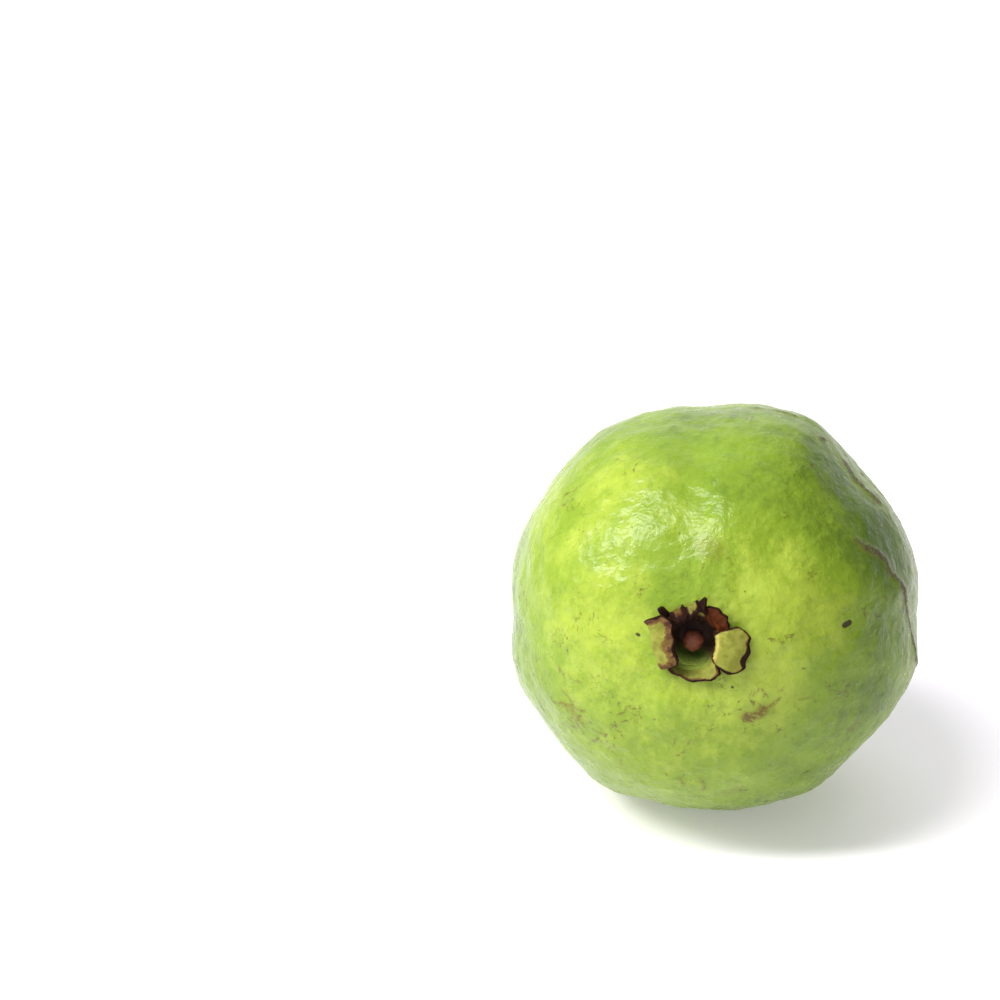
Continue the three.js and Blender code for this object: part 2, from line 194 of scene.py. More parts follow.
# Marks on the skin, each a line through (clock angle, angle from the calyx) points with the
# half width of the mark in millimetres.
CORKY_SCARS = (
    (0.45, ((34.6, 54.3), (33.2, 55.5), (30, 56.9))),
    (0.85, ((30, 56.9), (27.2, 60.4), (23.9, 62.8), (19.9, 63.6), (16.2, 65.9), (12.6, 68.9))),
    (0.65, ((12.6, 68.9), (8.2, 70.8), (3.7, 73.6), (359.2, 77), (352.6, 80.3), (348, 92))),
    (1.5, ((51.5, 82), (48.6, 81.2), (45.7, 80.4))),
    (0.95, ((45.7, 80.4), (42.6, 79), (38.2, 80.5))),
    (0.7, ((61, 78.8), (60.4, 81))),
    (0.3, ((84, 85), (80.7, 84.3), (77.1, 83.4), (73, 83.3), (70.5, 83.5))),
    (0.25, ((46, 94), (40, 94.4), (35, 95), (29, 93))),
)
DARK_SPOTS = (
    (0.6, ((8.0, 41.6), (8.7, 43.6))),
    (0.3, ((176.7, 13.4), (176.0, 13.9))),
    (0.24, ((316.5, 15.9), (317, 16.1))),
    (0.3, ((308.3, 56.9), (309.5, 57.6))),
    (0.3, ((288, 49.4), (290, 50.2))),
    (0.2, ((349.1, 30.3), (349.4, 30.9))),
)
RUSSET_STREAKS = (
    (1.1, ((309, 25.2), (313.4, 26), (318.3, 26.3))),
    (0.3, ((318.3, 26.3), (321.9, 26.9), (325.7, 27.4), (330, 27.8))),
    (0.35, ((333.6, 26.6), (335.4, 27.2))),
    (0.22, ((334, 33), (337.1, 35.9), (335.7, 37.6))),
    (0.25, ((267.2, 40.7), (268.7, 44.2))),
    (0.22, ((274.8, 41), (276.8, 44), (275.3, 47))),
    (0.2, ((272.4, 26.9), (269, 31.1), (266, 33))),
    (0.16, ((264, 27), (263.4, 30))),
    (0.4, ((207.2, 41.2), (212, 40), (216, 41.6))),
    (0.34, ((209.9, 47.6), (214.2, 41.4), (219.2, 37.6))),
    (0.4, ((219.2, 40), (221, 44), (226, 45))),
    (0.3, ((222.5, 46.2), (219, 50))),
    (0.26, ((243, 43), (244.6, 45.4))),
    (0.22, ((196, 40), (203, 38.6), (206, 40))),
    (0.2, ((199, 46), (202, 49))),
    (0.24, ((230, 39), (229, 36.6))),
)
SOFT_STAINS = (
    (1.6, ((86, 25.7), (78, 24.6))),  # olive patch in the valley above the calyx
    (0.6, ((214, 43), (221, 42))),
    (1.0, ((311, 25), (322, 27))),
    (1.0, ((284, 50), (288, 49))),
)
# Zones where fine russet hairlines gather: clock angle, angle from the calyx, spread in degrees
# and strength.
RUSSET_ZONES = (
    (214, 44, 16, 0.12),
    (200, 34, 12, 0.08),
    (262, 40, 20, 0.07),
    (330, 30, 14, 0.03),
    (130, 100, 40, 0.08),
    (60, 84, 14, 0.08),
    (300, 110, 50, 0.1),
)
# Broad patches of deeper (positive) or lighter (negative) green: clock angle, angle from the
# calyx, spread in degrees and strength. A few of them paint shade or sheen, as marked.
GREEN_PATCHES = (
    (50, 52, 20, 0.22),  # the deep green upper right
    (70, 80, 18, 0.26),
    (100, 64, 22, 0.26),
    (96, 20, 9, 0.26),
    (86, 40, 14, 0.26),
    (88, 78, 16, 0.16),
    # painted shade in the hollow between the stump and the torn sepals
    (112, 13, 5, 0.2),
    (32, 66, 18, 0.72),
    (352, 57, 20, 0.56),
    (315, 52, 20, 0.24),
    (275, 60, 24, 0.18),
    (212, 68, 24, 0.4),
    # painted shadow on the left flank, as a fruit beside it would cast
    (180, 72, 20, 0.34),
    (12, 30, 18, -0.26),
    (302, 26, 14, -0.1),
    (222, 22, 10, 0.1),
    (255, 32, 20, -0.06),
    (150, 34, 20, -0.12),
    # painted sheen: lighter where the key light glances on the upper left
    (121, 50, 14, -0.22),
    (90, 168, 45, 0.25),  # the stalk end
)


# ---- Settings ----


class GuavaShape(bpy.types.PropertyGroup):
    """Sizes of the fruit."""

    width: FloatProperty(
        name="Width", description="Mean width across the middle", default=0.080, unit="LENGTH"
    )
    calyx_half: FloatProperty(
        name="Calyx half", description="Middle of the fruit to its calyx end",
        default=0.041, unit="LENGTH",
    )
    stalk_half: FloatProperty(
        name="Stalk half", description="Middle of the fruit to its stalk end",
        default=0.043, unit="LENGTH",
    )
    fullness: FloatProperty(
        name="Fullness", description="2 is an ellipse, and more gives squarer shoulders",
        default=2.1,
    )
    tilt: FloatProperty(
        name="Tilt", description="How far the calyx end points above the horizontal",
        default=math.radians(13.5), subtype="ANGLE",
    )
    rest_height: FloatProperty(
        name="Rest height", description="The fruit's middle above the surface",
        default=0.0389, unit="LENGTH",
    )
    relief: FloatProperty(
        name="Relief", description="Height of the small bumps in the skin",
        default=0.0002, unit="LENGTH",
    )
    columns: IntProperty(name="Columns", description="Vertices round the skin", default=400)


class GuavaCup(bpy.types.PropertyGroup):
    """Sizes of the cup at the blossom end and of what stands in it."""

    radius: FloatProperty(
        name="Cup radius", description="Radius of the cup's mouth", default=0.0069, unit="LENGTH"
    )
    lip: FloatProperty(
        name="Lip", description="Radius of the rounded lip", default=0.0007, unit="LENGTH"
    )
    ledge_depth: FloatProperty(
        name="Ledge depth", description="Depth of the ledge under the calyx",
        default=0.0024, unit="LENGTH",
    )
    depth: FloatProperty(
        name="Cup depth", description="Depth of the cup's floor", default=0.0066, unit="LENGTH"
    )
    throat: FloatProperty(
        name="Throat", description="Radius of the cup under the ledge",
        default=0.0049, unit="LENGTH",
    )
    floor: FloatProperty(
        name="Floor", description="Radius of the cup's floor", default=0.0032, unit="LENGTH"
    )
    sepal_thickness: FloatProperty(
        name="Sepal thickness", description="Thickness of a sepal at its root",
        default=0.0009, unit="LENGTH",
    )
    curl: FloatProperty(
        name="Curl", description="How far the dried margins curl", default=0.0003, unit="LENGTH"
    )


class GuavaColours(bpy.types.PropertyGroup):
    """Colours of the fruit."""

    skin_yellow: FloatVectorProperty(
        name="Yellow green", description="The lightest green of the skin",
        default=(0.325, 0.415, 0.047), subtype="COLOR",
    )
    skin_green: FloatVectorProperty(
        name="Green", description="The middle green of the skin",
        default=(0.185, 0.285, 0.02), subtype="COLOR",
    )
    skin_deep: FloatVectorProperty(
        name="Deep green", description="The deepest green of the skin",
        default=(0.08, 0.142, 0.01), subtype="COLOR",
    )
    cork: FloatVectorProperty(
        name="Cork", description="Raised corky scars",
        default=(0.075, 0.048, 0.024), subtype="COLOR",
    )
    russet: FloatVectorProperty(
        name="Russet", description="Thin brown streaks",
        default=(0.118, 0.064, 0.014), subtype="COLOR",
    )
    spot: FloatVectorProperty(
        name="Spot", description="Dark spots",
        default=(0.032, 0.016, 0.006), subtype="COLOR",
    )
    sepal_face: FloatVectorProperty(
        name="Sepal face", description="The parts of a sepal that are still green",
        default=(0.245, 0.262, 0.043), subtype="COLOR",
    )
    sepal_shade: FloatVectorProperty(
        name="Sepal shade", description="Duller patches of the green parts",
        default=(0.175, 0.182, 0.028), subtype="COLOR",
    )
    sepal_tan: FloatVectorProperty(
        name="Sepal tan", description="Half-dried parts of a sepal",
        default=(0.14, 0.082, 0.024), subtype="COLOR",
    )
    # The pale band painted along a sepal's crest, as a highlight.
    sepal_fold: FloatVectorProperty(
        name="Sepal fold", description="A crease that has worn pale",
        default=(0.42, 0.35, 0.09), subtype="COLOR",
    )
    sepal_brown: FloatVectorProperty(
        name="Sepal brown", description="The inner part of a dried margin",
        default=(0.085, 0.034, 0.02), subtype="COLOR",
    )
    sepal_edge: FloatVectorProperty(
        name="Sepal edge", description="The outer part of a dried margin",
        default=(0.018, 0.006, 0.004), subtype="COLOR",
    )
    # Also used to paint the shade on the torn halves and in the cup.
    rust: FloatVectorProperty(
        name="Rust", description="The rusty inner face of the standing sepal",
        default=(0.13, 0.03, 0.005), subtype="COLOR",
    )
    # The cup's greens and its dark floor darken with depth: painted shade of the recess, together
    # with its staining.
    cup_green: FloatVectorProperty(
        name="Cup green", description="The green wall of the cup, near its mouth",
        default=(0.31, 0.41, 0.066), subtype="COLOR",
    )
    cup_deep: FloatVectorProperty(
        name="Cup deep green", description="The green wall of the cup, deeper in",
        default=(0.085, 0.14, 0.02), subtype="COLOR",
    )
    cup_dark: FloatVectorProperty(
        name="Cup dark", description="The dark floor of the cup",
        default=(0.05, 0.024, 0.016), subtype="COLOR",
    )
    style: FloatVectorProperty(
        name="Style", description="The dried style base",
        default=(0.30, 0.078, 0.034), subtype="COLOR",
    )
    bark: FloatVectorProperty(
        name="Bark", description="The bark of the stalk",
        default=(0.12, 0.08, 0.035), subtype="COLOR",
    )
    broken_wood: FloatVectorProperty(
        name="Broken wood", description="The broken end of the stalk",
        default=(0.34, 0.25, 0.13), subtype="COLOR",
    )


class GuavaStudio(bpy.types.PropertyGroup):
    """The camera, the floor and the lights."""

    azimuth: FloatProperty(
        name="Azimuth", description="Direction the camera looks in, from +Y towards -X",
        default=math.radians(11.4), subtype="ANGLE",
    )
    drop: FloatProperty(
        name="Drop", description="How far down the camera looks",
        default=math.radians(20.5), subtype="ANGLE",
    )
    distance: FloatProperty(
        name="Distance", description="Camera to the fruit's middle", default=0.494, unit="LENGTH"
    )
    lens: FloatProperty(
        name="Lens", description="Focal length in millimetres on a 36 mm frame", default=90
    )
    place_across: FloatProperty(
        name="Place across", description="Where the fruit's middle falls across the frame",
        default=0.7135,
    )
    place_down: FloatProperty(
        name="Place down", description="Where the fruit's middle falls down the frame",
        default=0.608,
    )
    floor_colour: FloatVectorProperty(
        name="Floor", description="Colour of the floor and backdrop",
        default=(0.89, 0.86, 0.92), subtype="COLOR",
    )


# ---- Building meshes ----


def lay(points, shape):
    """Turns points about the fruit's axis, in mm, into row-frame points in metres."""
    turn = Matrix.Rotation(math.pi - shape.tilt, 3, "X")
    laid = np.asarray(points) @ np.array(turn).T * MM
    laid[:, 2] += shape.rest_height
    return laid


def at_clock(clock, distance, height):
    """Points at clock angles in degrees, distances from the axis and heights along it."""
    angle = np.radians(clock)
    return np.stack(
        np.broadcast_arrays(distance * np.cos(angle), height, -distance * np.sin(angle)), -1
    )


def smooth(value, low, high):
    """0 below low, 1 above high and a soft step between."""
    t = np.clip((value - low) / (high - low), 0, 1)
    return t * t * (3 - 2 * t)


def noise_at(points, size, shift=0.0):
    """Soft noise from about -1 to 1 at each point, with features of the given size in mm."""
    away = Vector((shift, shift * 0.7, -shift))
    return np.array([noise.noise(Vector(p) / size + away) for p in points])


def turn_of(points):
    """How far round the axis each point is, as an angle in radians."""
    return np.arctan2(-points[:, 2], points[:, 0])


def directions(points):
    """The direction of each point from the middle of the fruit."""
    return points / np.linalg.norm(points, axis=1)[:, None]


def angle_between(direction, middle):
    """Angles in degrees between directions and one in the middle."""
    return np.degrees(np.arccos(np.clip(direction @ middle, -1, 1)))


def widen(points, shares):
    """Scales the distance of each point from the axis by its share."""
    points[:, [0, 2]] *= shares[:, None]


def ring_points(rings, columns):
    """Clock angles, distances and heights of the vertices on (distance, height) rings."""
    clock = np.tile(np.arange(columns) * 360 / columns, len(rings))
    distance, height = np.repeat(np.array(rings, dtype=float), columns, axis=0).T
    return clock, distance, height


def ring_faces(rows, columns, closed=False):
    """Quads between rings of vertices, and back to the first ring if closed."""
    ring = np.arange(columns)
    after = (ring + 1) % columns
    faces = []
    for row in range(rows if closed else rows - 1):
        low, high = row * columns, (row + 1) % rows * columns
        faces.append(np.stack((low + ring, low + after, high + after, high + ring), 1))
    return np.concatenate(faces).tolist()


def new_piece(name, vertices, faces):
    """A smooth mesh object in the scene."""
    mesh = bpy.data.meshes.new(name)
    mesh.from_pydata(np.asarray(vertices).tolist(), [], faces)
    mesh.validate()
    mesh.update()
    mesh.shade_smooth()
    piece = bpy.data.objects.new(name, mesh)
    bpy.context.scene.collection.objects.link(piece)
    return piece


def turned_piece(name, rings, columns, change, shape):
    """A closed solid of revolution from (distance, height) rings, changed and then laid down.

    The first and last rings are capped with a fan.
    """
    ends = np.array([[0, rings[0][1], 0], [0, rings[-1][1], 0]])
    points = change(np.vstack((at_clock(*ring_points(rings, columns)), ends)))
    count = len(rings) * columns
    faces = ring_faces(len(rings), columns)
    for i in range(columns):
        j = (i + 1) % columns
        faces.append((j, i, count))
        faces.append((count - columns + i, count - columns + j, count + 1))
    return new_piece(name, lay(points, shape), faces)


def store(mesh, name, values):
    """Keeps one number, or one vector, for each vertex where the materials can read it."""
    values = np.asarray(values, dtype=np.float32)
    if values.ndim == 1:
        mesh.attributes.new(name, "FLOAT", "POINT").data.foreach_set("value", values)
    else:
        mesh.attributes.new(name, "FLOAT_VECTOR", "POINT").data.foreach_set(
            "vector", values.ravel()
        )


def finish_piece(piece, node, slot, *materials):
    """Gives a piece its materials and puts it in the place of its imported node."""
    for material in materials:
        piece.data.materials.append(material)
    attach(piece, "root")
    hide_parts(node)


# ---- The fruit ----


def skin_height(points):
    """How far the skin stands out from the plain outline, in mm, at points about the middle."""
    direction = directions(points)
    from_calyx = np.degrees(np.arccos(np.clip(direction[:, 1], -1, 1)))
    clock = np.degrees(turn_of(direction))
    girth = np.sin(np.radians(from_calyx))
    height = np.zeros(len(points))
    for at, down, across, along, tall in SWELLINGS:
        round_it = ((clock - at + 540) % 360 - 180) * girth / across
        height += tall * np.exp(-(round_it**2) - ((from_calyx - down) / along) ** 2)
    # Lumps of uneven height are spread evenly over the fruit.
    for i in range(LUMP_COUNT):
        y = 1 - 2 * (i + 0.5) / LUMP_COUNT
        lump = at_clock(i * GOLDEN_ANGLE, math.sqrt(1 - y * y), y)
        away = angle_between(direction, lump) / LUMP_SPREAD
        height += LUMP_HEIGHT * math.cos(1.7 * i * i) * np.exp(-(away**2))
    end = np.minimum(from_calyx, 180 - from_calyx)
    return height * smooth(end, *TRUE_END)


def outline(shape, half, basin, distance):
    """Height along the axis of the plain outline at a distance from it, in mm."""
    depth, width = basin
    share = (1 - (2 * distance / (shape.width / MM)) ** shape.fullness) ** (1 / shape.fullness)
    return half / MM * share - depth * np.exp(-((distance / width) ** 2))


def calyx_outline(shape, distance):
    """The outline on the calyx side, with its shallow basin."""
    return outline(shape, shape.calyx_half, CALYX_BASIN, distance)


def stalk_outline(shape, distance):
    """The outline on the stalk side, with its deeper basin."""
    return -outline(shape, shape.stalk_half, STALK_BASIN, distance)


def cup_heights(shape, cup):
    """Heights along the axis of the cup's lip, ledge and floor, in mm."""
    lip = float(calyx_outline(shape, (cup.radius + cup.lip) / MM))
    return lip, lip - cup.ledge_depth / MM, lip - cup.depth / MM


def waver(points):
    """Makes the inside of the cup uneven: 1 where it stays true, more or less elsewhere."""
    distance = np.hypot(points[:, 0], points[:, 2])
    inside = 1 - smooth(distance, *TRUE_MOUTH)
    lobes = 0.035 * np.sin(5 * turn_of(points) + 0.8) + 0.08 * noise_at(points, 2.4, 71)
    return 1 + (lobes + 0.04 * noise_at(points, 0.9, 73)) * inside


def skin_rings(shape, cup):
    """Rings of the fruit from the stalk's socket to the cup's floor, and where the cup starts."""
    socket = STALK_RADIUS + GAP
    mouth = float(stalk_outline(shape, socket))
    socket_end = mouth + SOCKET_DEPTH
    rings = [(INNERMOST, socket_end), (socket - SOCKET_BEVEL, socket_end)]
    rings += [(socket, socket_end - SOCKET_BEVEL), (socket, mouth + 0.5)]
    half_width = shape.width / MM / 2
    lip_distance = (cup.radius + cup.lip) / MM
    first = -math.acos((socket / half_width) ** (shape.fullness / 2))
    last = math.acos((lip_distance / half_width) ** (shape.fullness / 2))
    near_cup = last - 0.2  # from here on the rings are closer together
    coarse = np.linspace(first, near_cup, 180)
    fine = np.linspace(near_cup, last, 36)[1:]
    for angle in np.concatenate((coarse, fine)):
        distance = half_width * math.cos(angle) ** (2 / shape.fullness)
        side = stalk_outline if angle < 0 else calyx_outline
        rings.append((distance, float(side(shape, distance))))
    lip, ledge, floor = cup_heights(shape, cup)
    # The skin runs on level over the sleeve to the sepals and turns down only at the very edge.
    edge = cup.radius / MM - SKIN_LAP
    for distance in np.linspace(lip_distance, edge + LIP_TURN, 9)[1:]:
        rings.append((distance, float(calyx_outline(shape, distance))))
    start = len(rings)
    for turn in np.radians((30, 60, 90)):
        rings.append((
            edge + LIP_TURN * (1 - math.sin(turn)), lip - LIP_TURN * (1 - math.cos(turn))
        ))
    throat, foot = cup.throat / MM, cup.floor / MM
    rings += [(edge, lip - 0.3), (cup.radius / MM, lip - 0.5)]
    rings += [(cup.radius / MM, ledge), (throat + LEDGE_BEVEL, ledge)]
    rings += [(throat, ledge - LEDGE_BEVEL)]
    for share in np.linspace(0, 1, 10)[1:]:
        rings.append((
            throat + (foot - throat) * share,
            ledge - LEDGE_BEVEL + (floor + FLOOR_ROUND - ledge + LEDGE_BEVEL) * share,
        ))
    rings += [(foot - 0.25, floor + 0.3), (foot - 0.9, floor), (1.2, floor), (INNERMOST, floor)]
    return rings, start


def distance_to_marks(points, marks):
    """Distance in mm from each point to the edge of the nearest mark, negative inside one."""
    nearest = np.full(len(points), FAR_AWAY)
    direction = directions(points)
    for half_width, line in marks:
        clock, down = np.array(line, dtype=float).T
        corners = at_clock(clock, np.sin(np.radians(down)), np.cos(np.radians(down)))
        for a, b in zip(corners[:-1], corners[1:]):
            step = b - a
            share = np.clip((direction - a) @ step / max(step @ step, 1e-9), 0, 1)
            away = np.linalg.norm(direction - a - share[:, None] * step, axis=1)
            nearest = np.minimum(nearest, away * MARK_RADIUS - half_width)
    return nearest


def patches_at(points, patches):
    """The sum at each point of soft round patches on the skin."""
    direction = directions(points)
    total = np.zeros(len(points))
    for clock, down, spread, strength in patches:
        middle = at_clock(clock, math.sin(math.radians(down)), math.cos(math.radians(down)))
        total += strength * np.exp(-((angle_between(direction, middle) / spread) ** 2))
    return total


def make_skin(shape, cup, colours):
    """The fruit with its skin, its relief and the lining of the cup."""
    rings, cup_start = skin_rings(shape, cup)
    first_cup_vertex = cup_start * shape.columns
    lip = cup_heights(shape, cup)[0]
    kept = {}

    def change(plain):
        distance = np.hypot(plain[:, 0], plain[:, 2])
        clock = np.degrees(turn_of(plain))
        calyx_side = plain[:, 1] > 0
        outside = np.zeros(len(plain))
        outside[:first_cup_vertex] = 1
        scars = distance_to_marks(plain, CORKY_SCARS)
        spots = distance_to_marks(plain, DARK_SPOTS)

        height = skin_height(plain)
        relief = shape.relief / MM
        dimples = noise_at(plain, 3.4, 11) + 0.6 * noise_at(plain, 1.7, 23)
        waves = noise_at(plain, 8.5, 5)
        bumps = relief * dimples + 1.6 * relief * waves
        height += bumps * smooth(distance, *BUMPS_BEGIN) * outside
        # The folds are long outwards and narrow round the axis.
        near_folds = np.exp(-(((distance - FOLDS_AT) / FOLDS_SPREAD) ** 2))
        turned = np.radians(clock)
        fan = np.stack((7 * np.cos(turned), 7 * np.sin(turned), distance / 4), 1)
        folds = 0.2 * noise_at(fan, 1.1, 3) + 0.1 * noise_at(plain, 2.0, 7)
        height += folds * (outside * calyx_side * near_folds)
        height += SCAR_HEIGHT * (1 - smooth(scars, -0.4, 0.7)) * outside
        height -= SPOT_PIT * (1 - smooth(spots, -0.5, 0.3)) * outside
        moved = plain + directions(plain) * height[:, None]
        widen(moved, np.where(calyx_side, waver(plain), 1))

        clouds = 0.22 * noise_at(plain, 13, 31) * outside
        kept["green"] = PLAIN_GREEN + patches_at(plain, GREEN_PATCHES) + clouds
        kept["russet_zone"] = patches_at(plain, RUSSET_ZONES)
        kept["scar"] = scars
        kept["spot"] = spots
        kept["streak"] = distance_to_marks(plain, RUSSET_STREAKS)
        kept["stain"] = distance_to_marks(plain, SOFT_STAINS)
        kept["clock"] = clock
        kept["cup_depth"] = (lip - plain[:, 1]) / (cup.depth / MM) * (1 - outside)
        past_rim = np.maximum(distance - BROWN_RIM, 0)
        kept["rim"] = np.exp(-((past_rim / RIM_FADE) ** 2)) * calyx_side
        return moved

    piece = turned_piece("guava_skin", rings, shape.columns, change, shape)
    mesh = piece.data
    # The fruit is flat where it rests.
    for vertex in mesh.vertices:
        vertex.co.z = max(vertex.co.z, 0)
    for name, values in kept.items():
        store(mesh, name, values)
    for face in mesh.polygons:
        if min(face.vertices) >= first_cup_vertex:
            face.material_index = 1
    finish_piece(piece, "fruit", "skin", skin_material(colours), cup_material(colours))


# ---- The calyx ----


def through(points, share):
    """Points on a centripetal Catmull-Rom curve through the given points, at shares 0 to 1."""
    given = np.array(points, dtype=float)
    ends = np.vstack((2 * given[0] - given[1], given, 2 * given[-1] - given[-2]))
    place = np.clip(share, 0, 1) * (len(given) - 1)
    index = np.minimum(place.astype(int), len(given) - 2)
    t = (place - index)[..., None]
    p0, p1, p2, p3 = (ends[index + k] for k in range(4))

    def knot(a, b):
        return np.sqrt(np.linalg.norm(b - a, axis=-1, keepdims=True))

    d0, d1, d2 = knot(p0, p1), knot(p1, p2), knot(p2, p3)
    m1 = ((p1 - p0) / d0 - (p2 - p0) / (d0 + d1) + (p2 - p1) / d1) * d1
    m2 = ((p2 - p1) / d1 - (p3 - p1) / (d1 + d2) + (p3 - p2) / d2) * d1
    return (
        p1 + m1 * t + (3 * p2 - 3 * p1 - 2 * m1 - m2) * t**2 + (2 * p1 - 2 * p2 + m1 + m2) * t**3
    )


def fraying(u, sepal):
    """Uneven small tears along the tip, from 0 to about 1."""
    row = u[0] if u.ndim > 1 else u
    places = np.stack((row * 3.1, np.full_like(row, sepal["clock"]), np.zeros_like(row)), 1)
    rough = np.abs(noise_at(places, 1.0, 5)) + 0.6 * np.abs(noise_at(places, 0.37, 8))
    return np.broadcast_to(rough * 1.6, u.shape)


def sepal_surface(sepal, lip, u, v):
    """Middle surface of a sepal, u from -1 to 1 across it and v from 0 to 1 along it."""
    corners = sepal["rounding"] * np.abs(u) ** 4
    notches = sepal["ragged"] * (1 + np.sin(9 * u + sepal["clock"]))
    slanting = (abs(sepal["slant"]) - sepal["slant"] * u) / 2
    shorter = corners + notches + slanting + sepal["fray"] * fraying(u, sepal)
    distance, height, width = np.moveaxis(through(sepal["line"], v * (1 - shorter)), -1, 0)
    side = u * width / 2 + sepal["shift"] + sepal["lean"] * v
    hugging = np.sqrt(np.maximum(distance**2 - side**2, 0.2 * distance**2))
    opened = smooth(v, 0.35, 0.7) * (1 - np.where(side < 0, *sepal["wrap"]))
    out = hugging + (distance - hugging) * opened
    middle = at_clock(sepal["clock"], out, lip + height)
    sideways = at_clock(sepal["clock"] + 90, 1.0, 0.0)
    return middle + side[..., None] * sideways


def sepal_faces():
    """Faces of a blade that is closed all round, its lower side first."""
    row = ACROSS + 1
    size = row * (ALONG + 1)
    faces = []
    for j in range(ALONG):
        for i in range(ACROSS):
            a = j * row + i
            faces.append((a, a + row, a + row + 1, a + 1))
            faces.append((size + a, size + a + 1, size + a + row + 1, size + a + row))
        left, right = j * row, j * row + ACROSS
        faces.append((left, size + left, size + left + row, left + row))
        faces.append((right, right + row, size + right + row, size + right))
    for i in range(ACROSS):
        top = ALONG * row + i
        faces.append((i, i + 1, size + i + 1, size + i))
        faces.append((top, size + top, size + top + 1, top + 1))
    return faces


def sepal_blade(sepal, index, lip, cup):
    """Vertices, faces and values of one sepal, a thin curled blade closed all round."""
    # The vertices crowd towards the edges, where the margin curls.
    u = np.sin(np.linspace(-1, 1, ACROSS + 1) * math.pi / 2) * 0.999
    v = 1 - (1 - np.linspace(0, 1, ALONG + 1)) ** 1.4
    u, v = np.meshgrid(u, np.clip(v, 0.001, 0.999))
    step = 1e-3
    middle = sepal_surface(sepal, lip, u, v)
    across_it = sepal_surface(sepal, lip, u + step, v) - sepal_surface(sepal, lip, u - step, v)
    along_it = sepal_surface(sepal, lip, u, v + step) - sepal_surface(sepal, lip, u, v - step)
    normal = np.cross(across_it, along_it)
    normal /= np.maximum(np.linalg.norm(normal, axis=-1, keepdims=True), 1e-9)

    width = through(sepal["line"], v)[..., 2]
    length = np.sum(np.linalg.norm(np.diff(np.array(sepal["line"])[:, :2], axis=0), axis=1))
    to_side = (1 - np.abs(u)) * width / 2
    to_tip = (1 - v) * length
    free = smooth(v, sepal["free"] - 0.12, sepal["free"] + 0.12)
    edge = np.minimum(to_tip, to_side + (1 - free) * 4)

    flat = middle.reshape(-1, 3)

    def ripple(size, seed):
        return noise_at(flat, size, seed + index).reshape(u.shape)

    # The margins dry, curl and thicken, but only where the blade is free of the sleeve.
    crumple = ripple(1.5, 40)
    uneven = np.clip(1 + 0.9 * ripple(2.6, 80), 0.5, 1.6)
    patchy = np.clip(1 + 1.6 * ripple(2.2, 95), 0.3, 2.0)
    veins = np.sin(u * width * 2.6 + 1.4 * crumple)
    curl = cup.curl / MM
    margin = np.exp(-((edge / (sepal["margin"] * uneven)) ** 2))
    char = np.exp(-((edge / (sepal["char"] * patchy)) ** 2))
    lift = free * (curl * 1.3 * margin * crumple + 0.3 * curl * crumple + 0.05 * veins)
    middle = middle + normal * lift[..., None]

    thickness = cup.sepal_thickness / MM * (1 - 0.35 * v)
    thickness = thickness + 0.35 * margin * free * (0.6 + 0.8 * crumple)
    from_edge = np.clip(np.minimum(to_side, to_tip) / 0.35, 0, 1)
    rounded = np.sqrt(np.clip(1 - (1 - from_edge) ** 2, 0, 1))
    thickness = thickness * (0.25 + 0.75 * rounded) + 0.05 * ripple(0.6, 60) * free
    half = normal * (np.maximum(thickness, THINNEST) / 2)[..., None]
    vertices = np.concatenate(((middle - half).reshape(-1, 3), (middle + half).reshape(-1, 3)))

    grids = {
        "clock": np.degrees(turn_of(flat)),
        "cup_depth": (lip - flat[:, 1]) / (cup.depth / MM),
        "dry": sepal["dry"] + 0.9 * margin * free,
        "char": char * free,
        "rust": np.full(u.shape, sepal["rust"]),
        "fold": np.exp(-(((v - sepal["fold"]) / 0.045) ** 2)),
        "root": 1 - smooth(v, 0.2, 0.42),
    }
    values = {name: np.tile(grid.ravel(), 2) for name, grid in grids.items()}
    place = np.stack((u * width / 2, v * length, np.full(u.shape, index * 9.0)), -1)
    values["blade"] = np.tile(place.reshape(-1, 3), (2, 1))
    return vertices, sepal_faces(), values


def sleeve_band(lip, ledge, cup):
    """Vertices, faces and values of the short sleeve that the sepals grow from."""
    outer = cup.radius / MM - CLEARANCE
    foot = ledge + SLEEVE_LIFT
    rings = [(4.86, foot), (outer, foot), (outer, lip - 0.6), (outer - 0.1, lip - 0.45)]
    rings += [(6.3, lip - 0.38), (5.75, lip - 0.42), (5.45, lip - 0.7)]
    rings += [(5.2, lip - 1.05), (5.0, lip - 1.4), (4.9, lip - 1.9)]
    columns = 240
    turn, distance, height = ring_points(rings, columns)
    vertices = at_clock(turn, distance, height)
    ragged = noise_at(vertices, 0.8, 77)
    high = smooth(height, lip - 0.6, lip - 0.1)
    widen(vertices, waver(vertices))
    vertices[:, 1] += 0.2 * ragged * high * (distance < outer - 0.2)
    count = len(vertices)
    values = {
        "clock": (turn + 180) % 360 - 180,
        "cup_depth": (lip - vertices[:, 1]) / (cup.depth / MM),
        "dry": 0.35 + 0.3 * high + 0.4 * ragged,
        "char": np.zeros(count),
        "rust": np.full(count, 0.1),
        "fold": np.zeros(count),
        "root": np.ones(count),
        "blade": np.stack((turn / 6, height, np.full(count, 70.0)), 1),
    }
    return vertices, ring_faces(len(rings), columns, closed=True), values


